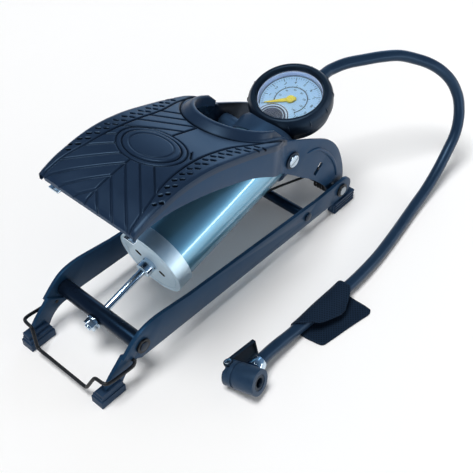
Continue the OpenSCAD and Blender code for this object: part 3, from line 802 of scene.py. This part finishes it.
def on_axis(s):
    """A frame on the centre line, s millimetres from the front tube, with z along it."""
    return Matrix.Translation(TUBE_AT + along * s * MM) @ Matrix.Rotation(
        pi / 2 - TILT, 4, "Y") @ Matrix.Scale(MM, 4)


def above_axis(s, e=0.0):
    """A frame s along the centre line and e above it, with z square to it."""
    return Matrix.Translation(TUBE_AT + along * s * MM) @ Matrix.Rotation(
        -TILT, 4, "Y") @ Matrix.Scale(MM, 4) @ Matrix.Translation((0, 0, e))


# %% [markdown]
# The cap's faces are satin and its rolled side is rougher; the rod's collar keeps a bright
# side. Faces that look along the centre line are told from the rest by their normals. Each
# of the cap's two air slots is filled with a near-black plug: painted shade for the hole.

# %% Barrel, cap and rod
BARREL_R, BORE_R, CAP_S, HEAD_S = 28.5, 27.5, 55.2, 190.0
barrel = lathe("barrel", rounded([(BORE_R, 2.2), (BARREL_R, 2.2), (BARREL_R, HEAD_S - CAP_S),
                                  (BORE_R, HEAD_S - CAP_S)], 0.2, 2), on_axis(CAP_S), 128)
put_in_place(barrel, barrel_paint, "barrel", "barrel_paint", "barrel_tube")
front_cap = dress("front_cap", satin_zinc, 0.8, 3)
rod_guide = dress("rod_guide", satin_zinc, 0.5)
for piece, side_finish in ((front_cap, rolled_zinc), (rod_guide, zinc)):
    piece.data.materials.append(side_finish)
    for side in piece.data.polygons:
        side.material_index = int(abs(side.normal @ along) < 0.5)
dress("piston_rod", zinc, 0.6)
dress("rod_nut", zinc, 0.6)
dress("rod_washer", zinc, 0.3)
SLOT_SHADE_AT, SLOT_SHADE_HALF, SLOT_SHADE_ROUND, SLOT_SHADE_SIDES = 12.4, 3.3, 2.2, 24


def slot_shade_plug(angle):
    """A near-black plug, rounded at both ends, in one air slot of the cap: painted shade."""
    outline = [(copysign(SLOT_SHADE_HALF - SLOT_SHADE_ROUND, c) + SLOT_SHADE_ROUND * c, SLOT_SHADE_ROUND * s)
               for c, s in circle(SLOT_SHADE_SIDES)]
    place = (on_axis(CAP_S) @ Matrix.Rotation(radians(angle), 4, "Z")
             @ Matrix.Translation((SLOT_SHADE_AT, 0, 0)) @ Matrix.Rotation(radians(10), 4, "Z"))
    points, faces = prism(outline, -0.12, 1.6)
    return [place @ point for point in points], faces


air_slot_shade = add_piece("air_slot_shade_plugs", *merged([slot_shade_plug(116), slot_shade_plug(296)]))
# Slot plugs: painted shade that gives back almost no light, so the slots read as holes.
slot_shade_paint = finish("black_slot_shade", "#020305", "#05070a", (0.8, 0.95), 3, 0.3, 0.02,
              **{"Specular IOR Level": 0.1})
put_in_place(air_slot_shade, slot_shade_paint, "barrel", "rubber_black")
dress("cylinder_head", cast_paint, 0.9, 3)

# %% [markdown]
# ## The gauge
#
# The gauge stands in a thick rubber boot that takes knocks. Inside are a bright ring, a
# printed dial, a yellow pointer on its spindle and a clear lens. The boot is a turned
# shape, so `lathe` makes it from a profile, and twelve small nubs are added for grip.

# %% Boot and ring
GAUGE_S, DIAL_E, LENS_E, LENS_R, BOOT_R = 234.0, 17.8, 23.4, 27.0, 35.5
boot_profile = rounded(
    [(30.0, 5.0, 0.3), (31.6, 5.0, 0.8), (32.4, 11.6, 0.3), (33.2, 11.9, 0.3), (35.0, 13.6, 1.2),
     (BOOT_R, 18, 2.0), (BOOT_R, 24.0, 4.0), (31.8, 29.0, 3.6), (28.6, 29.0, 1.0),
     (LENS_R, LENS_E + 1.4, 0.3), (30.0, LENS_E + 1.4, 0.1)], 0.6, 5)
boot = lathe("boot", boot_profile, above_axis(GAUGE_S), 160)


def grip(angle, place):
    """A small nub on the boot, where its side turns over into the rim."""
    c, s = cos(angle), sin(angle)
    line = curve_through([(r * c, r * s, e) for r, e in (
        (35.2, 18.5), (35.3, 21.0), (35.2, 23.4), (34.5, 25.6))], 5)
    points, faces = tube_mesh(line, 0.2 + 0.6 * np.sin(np.linspace(0, pi, len(line))), 10,
                              side=(-s, c, 0))
    return [place @ Vector(p) for p in points], faces


GRIPS = 12
grips = add_piece("boot_grips", *merged([
    grip(2 * pi * (k + 0.22) / GRIPS, above_axis(GAUGE_S)) for k in range(GRIPS)]))
put_in_place(boot, boot_rubber, "barrel", "rubber_black", "gauge_boot")
put_in_place(grips, boot_rubber, "barrel", "rubber_black")

# Ring: a pale bright line round the dial.
ring_enamel = finish("bright_ring_enamel", "#bccffa", "#d5e1fd", (0.16, 0.26), 14, 0.6, 0.002,
                     **{"Metallic": 0.25, "Coat Weight": 0.6})
ring = lathe("dial_ring", rounded([(25.6, DIAL_E + 1.5), (26.5, LENS_E - 0.1),
                                   (27.3, LENS_E - 0.1), (27.3, DIAL_E + 1.5)], 0.2, 3),
             above_axis(GAUGE_S), 128)
put_in_place(ring, ring_enamel, "barrel", "zinc_steel")

# %% [markdown]
# The dial's ticks repeat by a rule, so Geometry Nodes draw them: an arc of points, one
# thin box on each, and every few a longer one. The numbers are plain text made into a
# mesh. They say nothing but a pressure.

# %% Dial: ticks by Geometry Nodes
DIAL_FROM, DIAL_SWEEP = 220.0, 260.0


def tick_tree(material):
    """A ring of small boxes: named inputs set how many, how far out and how big."""
    tree = bpy.data.node_groups.new("dial_ticks", "GeometryNodeTree")
    face = tree.interface
    face.new_socket("Geometry", in_out="OUTPUT", socket_type="NodeSocketGeometry")
    ids = {}
    for name in ("Count", "Radius", "Long", "Wide", "High"):
        kind = "NodeSocketInt" if name == "Count" else "NodeSocketFloat"
        ids[name] = face.new_socket(name, in_out="INPUT", socket_type=kind).identifier
    given = node(tree, "NodeGroupInput").outputs

    def step(kind, **sockets):
        return node(tree, "GeometryNode" + kind, sockets).outputs[0]

    def vector(**parts):
        return node(tree, "ShaderNodeCombineXYZ", parts).outputs[0]

    last = calc(tree, "SUBTRACT", given["Count"], 1.0)
    part = calc(tree, "DIVIDE", step("InputIndex"), last)
    angle = calc(tree, "MULTIPLY_ADD", part, -radians(DIAL_SWEEP), radians(DIAL_FROM))
    out = node(tree, "ShaderNodeVectorMath",
               {0: vector(X=calc(tree, "COSINE", angle), Y=calc(tree, "SINE", angle)),
                "Scale": given["Radius"]}, operation="SCALE").outputs[0]
    spots = step("SetPosition", Geometry=step("Points", Count=given["Count"]), Position=out)
    box = step("MeshCube", Size=vector(X=given["Long"], Y=given["Wide"], Z=given["High"]))
    boxes = step("InstanceOnPoints", Points=spots, Instance=box, Rotation=vector(Z=angle))
    real = step("RealizeInstances", Geometry=boxes)
    node(tree, "NodeGroupOutput",
         {"Geometry": step("SetMaterial", Geometry=real, Material=material)})
    return tree, ids


def plain_mesh(holder):
    """An object's mesh after its modifiers, as plain data. The object itself goes."""
    mesh = bpy.data.meshes.new_from_object(
        holder.evaluated_get(bpy.context.evaluated_depsgraph_get()))
    bpy.data.objects.remove(holder)
    return mesh


def ticks(tree, ids, **sizes):
    """Runs the tree on an empty mesh and keeps the plain result."""
    seed = link("seed", bpy.data.meshes.new("seed"))
    nodes_modifier = seed.modifiers.new("ticks", "NODES")
    nodes_modifier.node_group = tree
    for name, value in sizes.items():
        nodes_modifier[ids[name]] = value
    return plain_mesh(seed)


def text_mesh(words, size, at):
    """A flat number centred at a point of the dial, in millimetres."""
    curve = bpy.data.curves.new("number", "FONT")
    curve.body, curve.size = words, size
    curve.align_x, curve.align_y = "CENTER", "CENTER"
    curve.extrude = 0.04
    mesh = plain_mesh(link("number", curve))
    mesh.transform(Matrix.Translation(at))
    return mesh


# Ink: matt, so the marks stay dark under the lens. It also draws a painted shadow ring.
dial_ink_and_shade = finish("black_dial_ink_and_shade", "#141b28", "#1d2635", (0.5, 0.6), 6, 0.4, 0.0)
dial_tick_tree, dial_tick_ids = tick_tree(dial_ink_and_shade)
# The last row, a ring of touching ticks at the dial's edge, is a painted shadow where the bright
# ring meets the dial.
dial_marks_and_shade = [ticks(dial_tick_tree, dial_tick_ids, Count=count, Radius=radius, Long=long, Wide=wide, High=high)
          for count, radius, long, wide, high in (
              (51, 23.0, 1.6, 0.22, 0.06), (11, 22.2, 3.4, 0.5, 0.07), (57, 14.0, 1.2, 0.2, 0.06),
              (8, 14.6, 2.2, 0.42, 0.07), (240, 13.4, 0.7, 0.3, 0.06),
              (300, 25.2, 0.6, 0.6, 0.06))]
for last, step, size, radius in ((10, 1, 3.9, 18.4), (7, 20, 2.3, 10.6)):
    for k in range(last + 1):
        a = radians(DIAL_FROM - DIAL_SWEEP * k / last)
        spot = (radius * cos(a), radius * sin(a), 0)
        dial_marks_and_shade.append(text_mesh(str(step * k), size, spot))


def join(name, meshes, place):
    """One piece from several meshes, which go."""
    whole = bpy.data.meshes.new(name)
    with edited(whole) as shape:
        for mesh in meshes:
            shape.from_mesh(mesh)
            bpy.data.meshes.remove(mesh)
        bmesh.ops.transform(shape, matrix=place, verts=shape.verts)
    return link(name, whole)


upright = Matrix.Rotation(radians(-90), 4, "Z")
dial_top = above_axis(GAUGE_S, DIAL_E + 0.84)
dial_marks = join("dial_marks", dial_marks_and_shade, dial_top @ upright)
tidy_normals(dial_marks.data, smooth=False, recalculate=False)
put_in_place(dial_marks, dial_ink_and_shade, "barrel", "dial_print")

# %% [markdown]
# The dial itself is a lacquered disc, a touch blue. A plain dark roundel with a bright rim
# fills the space below zero, cut off by the dial's edge. The pointer is one stamping,
# pressed on a hub.

# %% Dial, pointer and lens
# Dial: a cool, even white with half a gloss.
dial_paint = finish("lacquered_dial_white", "#96bedd", "#a6c9e4", (0.3, 0.4), 18, 0.5, 0.002)
dial = lathe("dial", rounded([(0.0, 0.0, 0), (26.0, 0.0), (26.0, 0.8), (0.0, 0.8, 0)], 0.1, 2),
             above_axis(GAUGE_S, DIAL_E), 128)
put_in_place(dial, dial_paint, "barrel", "dial_print", "gauge_dial")

ROUNDEL_AT, DIAL_EDGE, ROUNDEL_SIDES = (-22.0, 2.3), 25.8, 96


def plate(outline, low, high):
    return new_mesh("plate", *prism(outline, low, high))


def roundel(radius, low, high):
    """A flat disc off the dial's centre, cut back to the dial's edge."""
    rim = []
    for c, s in circle(ROUNDEL_SIDES):
        p = Vector((ROUNDEL_AT[0] + radius * c, ROUNDEL_AT[1] + radius * s))
        rim.append(p * min(1.0, DIAL_EDGE / p.length))
    return plate(rim, low, high)


# Roundel: a shade bluer than the marks.
navy_ink = finish("navy_dial_ink", "#1c2b44", "#24364f", (0.4, 0.5), 6, 0.4, 0.0)
for name, ink, discs in (("roundel_rim", zinc, [(14.2, 0.8, 0.88), (9.8, 1.0, 1.03)]),
                         ("roundel_field", navy_ink, [(13.5, 0.8, 0.9), (9.3, 1.0, 1.05)]),
                         ("roundel_band", zinc, [(12.7, 0.8, 0.94)]),
                         ("roundel_face", navy_ink, [(11.4, 0.8, 1.0)])):
    piece = join(name, [roundel(*disc) for disc in discs], above_axis(GAUGE_S, DIAL_E))
    tidy_normals(piece.data, smooth=False)
    put_in_place(piece, ink, "barrel", "dial_print")

NEEDLE_ANGLE = radians(130)


blade = plate([(-4.6, -1.6), (-4.6, 1.6), (0, 2.2), (8, 1.5), (17, 0.9), (21.6, 0.2),
               (21.6, -0.2), (17, -0.9), (8, -1.5), (0, -2.2)], 1.3, 1.8)
blade.transform(Matrix.Rotation(NEEDLE_ANGLE, 4, "Z"))
hub = plain_mesh(lathe("hub", rounded([(0.0, 1.2, 0), (3.7, 1.2), (3.7, 2.3), (2.6, 3.0),
                                       (0.0, 3.0, 0)], 0.3, 3), Matrix(), 48))
needle = join("pointer", [blade, hub], above_axis(GAUGE_S, DIAL_E))
tidy_normals(needle.data)
# Pointer: the only strong colour, so the eye goes to the reading.
pointer_paint = finish("yellow_pointer_enamel", "#d8c21e", "#e6d33a", (0.3, 0.42), 5, 0.5, 0.004)
put_in_place(needle, pointer_paint, "needle", "yellow_pointer", "gauge_needle")

# Lens: clear, with a faint gleam across the dial.
lens_plastic = finish("clear_polycarbonate", "#f2f8fc", "#fbfdff", (0.02, 0.05), 30, 4.0, 0.0,
                      **{"Transmission Weight": 1.0, "IOR": 1.45})
lens_profile = rounded([(0.0, LENS_E, 0), (27.4, LENS_E), (27.4, LENS_E + 1.3),
                        (0.0, LENS_E + 1.4, 0)], 0.25, 3)
lens_piece = lathe("gauge_window", lens_profile, above_axis(GAUGE_S), 128)
put_in_place(lens_piece, lens_plastic, "barrel", "lens", "gauge_lens")

# %% [markdown]
# ## The frame
#
# Two pressed steel rails stand on rubber feet. A turned tube joins them in front and a bar
# near the rear. Their edges are sheared and then painted, so each has a small radius.

# %% Rails, tube, bar and feet
dress("rail_left", rail_paint, 0.55)
dress("rail_right", rail_paint, 0.55)
dress("front_tube", black_paint_and_shade, 0.7, 3)
dress("rear_cross_bar", black_paint_and_shade, 0.6)
for foot in ("foot_front_left", "foot_front_right", "foot_rear_left", "foot_rear_right"):
    dress(foot, foot_rubber, 0.9, 3)

# %% [markdown]
# ## The return spring and the lock wire
#
# Spring wire keeps one thickness, so a tube swept along a smooth line is exact. The coil's
# points come from the same rule as in the CAD model, with more steps in each turn.

# %% Spring and wire
SPRING_R, SPRING_Y, SPRING_PITCH, SPRING_WIRE = 7.4, -19.0, 3.0, 2.2
PIVOT_AT = (133.0, 22.0)
TURN_STEPS, COIL_TURNS = 32, 4.75


def coil_point(turned):
    a = pi / 2 - 2 * pi * turned
    return (PIVOT_AT[0] + SPRING_R * cos(a), SPRING_Y - SPRING_PITCH * turned,
            PIVOT_AT[1] + SPRING_R * sin(a))


coil = [coil_point(i / TURN_STEPS) for i in range(int(TURN_STEPS * COIL_TURNS) + 1)]
bar_leg = curve_through([(82, -3, 29.7), (92, -6, 29.7), (107, -11, 29.6), (121, -16, 29.5),
                         coil[0]], 5)[:-1]
lift_leg = curve_through([coil[-1], (122, -32.6, 32), (116, -32.8, 42), (110, -33, 53),
                          (106.6, -33.4, 58.6), (105.6, -35, 60.4), (105.4, -38.6, 60.8)], 5)[1:]
spring_line = np.concatenate([bar_leg, np.array(coil), lift_leg]) * MM
spring = tube("return_spring_wire", spring_line, SPRING_WIRE / 2 * MM, 14, side=(0, 1, 0))

ARM_Y, BAIL_WIRE = 46.8, 2.8
wire_half = [(-120.5, ARM_Y, 26), (-122, ARM_Y, 22.5), (-126, ARM_Y, 22), (-134, ARM_Y, 22.8),
             (-143, ARM_Y, 24), (-147.5, ARM_Y - 1, 24.5), (-149, ARM_Y - 4, 24.5),
             (-149.4, 38, 24.5), (-149.6, 35.5, 24), (-150.4, 33.6, 21.5), (-152.3, 29.5, 13),
             (-152.9, 27.8, 10), (-153, 25, 9), (-153, 18, 9), (-153, 5, 9)]
inner_end = [(-120.5, 39.6, 26), (-120.5, ARM_Y - 1.5, 26)]
wire_path = inner_end + wire_half
wire_path += [(x, -y, z) for x, y, z in wire_path[::-1]]
wire_line = curve_through(wire_path, 5) * MM
lock_wire = tube("lock_wire_bail", wire_line, BAIL_WIRE / 2 * MM, 16)
coat_with(black_steel, spring)
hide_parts("return_spring")
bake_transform(spring)
put_in_place(lock_wire, black_steel, "lock_bail", "steel_wire_black", "lock_wire")

# %% [markdown]
# ## Everything else that the pump holds
#
# The pieces inside the cylinder and the gauge, and the small clips and pins, keep their
# CAD meshes. Each still gets its real finish, because a cut-open view would show it.

# %% Inner pieces
kept = {
    turned_steel: ["pivot_shaft"],
    black_steel: ["pivot_clips", "tube_clips"],
    case_plastic: ["gauge_case", "pivot_spacer"],
    natural_nylon: ["piston"],
    boot_rubber: ["piston_cup", "head_seal"],
    zinc: ["valve_ball"],
    brass: ["gauge_movement", "hose_nipple"]}
for material, names in kept.items():
    coat_with(material, *[nodes[name] for name in names])
print("kept CAD meshes:", sum(len(names) for names in kept.values()))

# %% [markdown]
# ## The floor
#
# A white table top, matt and very slightly mottled, so only the pump's soft shadow marks it.

# %% Floor
white_table, tree, place = new_material("white_table")
colour = mixed(tree, noise(tree, place, 1 / 3), linear("#fbfbfb"), linear("#ffffff"))
matt = node(tree, "ShaderNodeBsdfDiffuse", {"Color": colour})
node(tree, "ShaderNodeOutputMaterial", {"Surface": matt.outputs["BSDF"]})
FLOOR_HALF = 6.0
corners = [(-1, -1), (1, -1), (1, 1), (-1, 1)]
floor = add_piece("table", [(FLOOR_HALF * x, FLOOR_HALF * y, 0) for x, y in corners],
                  [(0, 1, 2, 3)], smooth=False)
coat_with(white_table, floor)

# %% [markdown]
# ## Light
#
# A soft key overhead leaves a soft shadow, a weak card fills the front, and a cool rim
# lights the far edges. A long narrow lamp draws the stripe along the barrel. The world adds
# some light from low down and is tinted in reflections, which keeps dark rubber and paint
# blue-black. The camera, and what the clear window lets through, see plain white.

# %% World and lamps
world = bpy.data.worlds.new("studio")
scene.world = world
world.use_nodes = True
tree = world.node_tree
tree.nodes.clear()
sight = node(tree, "ShaderNodeLightPath").outputs
seen = calc(tree, "MAXIMUM", sight["Is Camera Ray"], sight["Is Transmission Ray"])
way = node(tree, "ShaderNodeTexCoord").outputs["Generated"]
height = node(tree, "ShaderNodeSeparateXYZ", {0: way}).outputs["Z"]
level = node(tree, "ShaderNodeMapRange",
             {"Value": height, "From Min": 0.3, "From Max": 1.0, "To Min": 0.45, "To Max": 0.06})
sky = mixed(tree, sight["Is Glossy Ray"], linear("#f9f9f9"), linear("#a4cbf3"))
dim = node(tree, "ShaderNodeBackground", {"Color": sky, "Strength": level.outputs["Result"]})
bright = node(tree, "ShaderNodeBackground", {"Color": (1, 1, 1, 1), "Strength": 1.0})
both = node(tree, "ShaderNodeMixShader", {0: seen, 1: dim.outputs[0], 2: bright.outputs[0]})
node(tree, "ShaderNodeOutputWorld", {"Surface": both.outputs[0]})


SUN_AWAY = 1.5


def sun(name, direction, power, spread, colour=(1, 1, 1)):
    """A far soft lamp in a direction, given as a vector from the pump."""
    light = bpy.data.lights.new(name, "SUN")
    light.energy, light.angle, light.color = power, radians(spread), colour
    toward = Vector(direction).normalized()
    link(name, light).matrix_world = (Matrix.Translation(toward * SUN_AWAY)
                                      @ toward.to_track_quat("Z", "Y").to_matrix().to_4x4())


sun("key", (-0.35, 0.12, 1.5), 2.35, 26)
sun("front_card", (-1.0, -0.25, 0.0), 0.5, 40)
sun("rim", (0.88, 0.47, 0.25), 0.35, 30, (0.45, 0.7, 1.0))

STRIP_LONG, STRIP_WIDE, STRIP_AWAY, STRIP_LEVEL = 2.2, 0.12, 1.3, 8.0
strip_aim, strip_way = Vector((0.01, -0.025, 0.07)), Vector((0.3255, -0.939, 0.1055))
strip_light = bpy.data.lights.new("strip", "AREA")
strip_light.shape, strip_light.size, strip_light.size_y = "RECTANGLE", STRIP_LONG, STRIP_WIDE
strip_light.energy = STRIP_LEVEL * pi * STRIP_LONG * STRIP_WIDE
strip = link("strip", strip_light)
across = strip_way.cross(along).normalized()
length_way = across.cross(strip_way).normalized()
strip.matrix_world = (Matrix.Translation(strip_aim + strip_way * STRIP_AWAY)
                      @ Matrix((length_way, strip_way.cross(length_way), strip_way))
                      .transposed().to_4x4())
